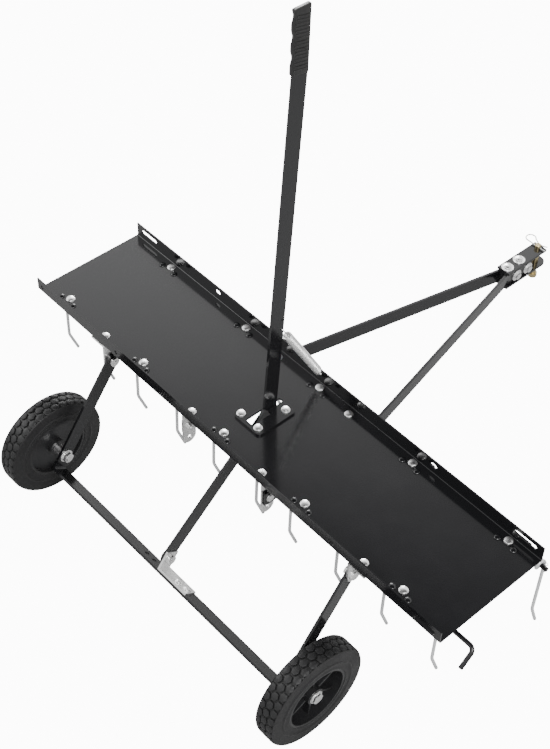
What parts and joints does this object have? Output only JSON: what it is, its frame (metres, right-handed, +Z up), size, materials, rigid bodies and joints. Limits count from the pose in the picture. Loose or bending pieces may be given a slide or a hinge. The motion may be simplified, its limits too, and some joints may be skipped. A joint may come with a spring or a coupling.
{
  "type": "tow-behind dethatcher",
  "caption": "Wide shallow steel tray on small wheels with rows of spring tines beneath, an upright lift lever with a coil spring, and tow bars meeting at a pin hitch.",
  "frame": {"origin": "centre of the bounding box in plan, on the plane that the wheels stand on, which is 310.3 mm below the deck's underside", "axes": "+Z up, normal to the deck, +Y forwards to the hitch, +X to the machine's right, along the tray"},
  "size_m": [1.0633, 1.0467, 1.0905],
  "materials": {
    "black_paint": "gloss black powder coat",
    "zinc": "bright zinc plate",
    "tine_steel": "light gray spring steel",
    "tyre_rubber": "matte black rubber",
    "rim_plastic": "satin black moulded plastic",
    "bush_nylon": "white nylon bush",
    "grip_rubber": "matte black grip",
    "pin_brass": "yellow-zinc plated pin"
  },
  "bodies": {
    "tray": {"tray": "black_paint", "latch_plate": "black_paint", "latch_bolts": "zinc", "lift_spring": "zinc", "frame_hanger_left": "zinc", "frame_hanger_right": "zinc", "frame_pivot_bolt_left": "zinc", "frame_pivot_bolt_right": "zinc", "hanger_bolts": "zinc", "tow_bar_left": "black_paint", "tow_bar_right": "black_paint", "tow_bracket_rear_left": "zinc", "tow_bracket_rear_right": "zinc", "tow_bracket_front_left": "zinc", "tow_bracket_front_right": "zinc", "tow_bracket_bolts": "zinc", "hitch_upper_plate": "black_paint", "hitch_lower_plate": "black_paint", "hitch_block": "black_paint", "hitch_plate_bolts": "zinc", "hitch_cross_bolts": "zinc", "tine_rod_rear": "black_paint", "tine_rod_front": "black_paint", "rod_cotters": "zinc", "tine_brackets_rear": "black_paint", "tine_brackets_front": "black_paint", "tine_bracket_bolts": "zinc", "tine_bracket_rivets": "black_paint"},
    "wheel_frame": {"wheel_frame": "black_paint", "lever_bracket": "zinc", "lever_bracket_bolts": "zinc", "lever_pivot_bolt": "zinc", "axle_bolt_left": "zinc", "axle_bolt_right": "zinc"},
    "lever": {"lever": "black_paint", "lever_grip": "grip_rubber"},
    "wheel_left": {"tyre_left": "tyre_rubber", "rim_left": "rim_plastic", "hub_bush_left": "bush_nylon"},
    "wheel_right": {"tyre_right": "tyre_rubber", "rim_right": "rim_plastic", "hub_bush_right": "bush_nylon"},
    "hitch_pin": {"hitch_pin": "pin_brass"},
    "hitch_clip": {"hitch_clip": "zinc"},
    "tine_rear_1": {"tine_rear_1": "tine_steel"},
    "tine_rear_2": {"tine_rear_2": "tine_steel"},
    "tine_rear_3": {"tine_rear_3": "tine_steel"},
    "tine_rear_4": {"tine_rear_4": "tine_steel"},
    "tine_rear_5": {"tine_rear_5": "tine_steel"},
    "tine_front_1": {"tine_front_1": "tine_steel"},
    "tine_front_2": {"tine_front_2": "tine_steel"},
    "tine_front_3": {"tine_front_3": "tine_steel"},
    "tine_front_4": {"tine_front_4": "tine_steel"},
    "tine_front_5": {"tine_front_5": "tine_steel"}
  },
  "joints": [
    {"name": "frame_lift", "type": "hinge", "parent": "tray", "child": "wheel_frame", "pos_m": [-0.0135, -0.30111, 0.27034], "axis": [1, 0, 0], "range_deg": [-30, 0]},
    {"name": "lever_swing", "type": "hinge", "parent": "wheel_frame", "child": "lever", "pos_m": [-0.0215, -0.42422, 0.09774], "axis": [1, 0, 0], "range_deg": [0, 6.6], "deforming": ["lift_spring"]},
    {"name": "wheel_left_spin", "type": "hinge", "parent": "wheel_frame", "child": "wheel_left", "pos_m": [-0.364, -0.42189, 0.101], "axis": [1, 0, 0], "continuous": true},
    {"name": "wheel_right_spin", "type": "hinge", "parent": "wheel_frame", "child": "wheel_right", "pos_m": [0.337, -0.42189, 0.101], "axis": [1, 0, 0], "continuous": true},
    {"name": "hitch_pin_turn", "type": "hinge", "parent": "tray", "child": "hitch_pin", "pos_m": [-0.0135, 0.50289, 0.26434], "axis": [0, 0, 1], "continuous": true},
    {"name": "hitch_clip_slide", "type": "slide", "parent": "hitch_pin", "child": "hitch_clip", "axis": [-1, 0, 0], "range_m": [0, 0.045]},
    {"name": "tine_rear_1_flex", "type": "hinge", "parent": "tray", "child": "tine_rear_1", "pos_m": [-0.4595, -0.26951, 0.29034], "axis": [1, 0, 0], "range_deg": [-15, 0], "stiffness_Nm_per_rad": 25, "springref_deg": 5.73},
    {"name": "tine_rear_2_flex", "type": "hinge", "parent": "tray", "child": "tine_rear_2", "pos_m": [-0.2465, -0.26951, 0.29034], "axis": [1, 0, 0], "range_deg": [-15, 0], "stiffness_Nm_per_rad": 25, "springref_deg": 5.73},
    {"name": "tine_rear_3_flex", "type": "hinge", "parent": "tray", "child": "tine_rear_3", "pos_m": [-0.0305, -0.26951, 0.29034], "axis": [1, 0, 0], "range_deg": [-15, 0], "stiffness_Nm_per_rad": 25, "springref_deg": 5.73},
    {"name": "tine_rear_4_flex", "type": "hinge", "parent": "tray", "child": "tine_rear_4", "pos_m": [0.1695, -0.26951, 0.29034], "axis": [1, 0, 0], "range_deg": [-15, 0], "stiffness_Nm_per_rad": 25, "springref_deg": 5.73},
    {"name": "tine_rear_5_flex", "type": "hinge", "parent": "tray", "child": "tine_rear_5", "pos_m": [0.3925, -0.26951, 0.29034], "axis": [1, 0, 0], "range_deg": [-15, 0], "stiffness_Nm_per_rad": 25, "springref_deg": 5.73},
    {"name": "tine_front_1_flex", "type": "hinge", "parent": "tray", "child": "tine_front_1", "pos_m": [-0.4065, -0.07541, 0.29034], "axis": [1, 0, 0], "range_deg": [-15, 0], "stiffness_Nm_per_rad": 25, "springref_deg": 5.73},
    {"name": "tine_front_2_flex", "type": "hinge", "parent": "tray", "child": "tine_front_2", "pos_m": [-0.1945, -0.07541, 0.29034], "axis": [1, 0, 0], "range_deg": [-15, 0], "stiffness_Nm_per_rad": 25, "springref_deg": 5.73},
    {"name": "tine_front_3_flex", "type": "hinge", "parent": "tray", "child": "tine_front_3", "pos_m": [-0.0015, -0.07541, 0.29034], "axis": [1, 0, 0], "range_deg": [-15, 0], "stiffness_Nm_per_rad": 25, "springref_deg": 5.73},
    {"name": "tine_front_4_flex", "type": "hinge", "parent": "tray", "child": "tine_front_4", "pos_m": [0.2235, -0.07541, 0.29034], "axis": [1, 0, 0], "range_deg": [-15, 0], "stiffness_Nm_per_rad": 25, "springref_deg": 5.73},
    {"name": "tine_front_5_flex", "type": "hinge", "parent": "tray", "child": "tine_front_5", "pos_m": [0.4355, -0.07541, 0.29034], "axis": [1, 0, 0], "range_deg": [-15, 0], "stiffness_Nm_per_rad": 25, "springref_deg": 5.73}
  ],
  "couplings": [
    {"joint": "lever_swing", "follows": "frame_lift", "ratio": -0.22}
  ]
}
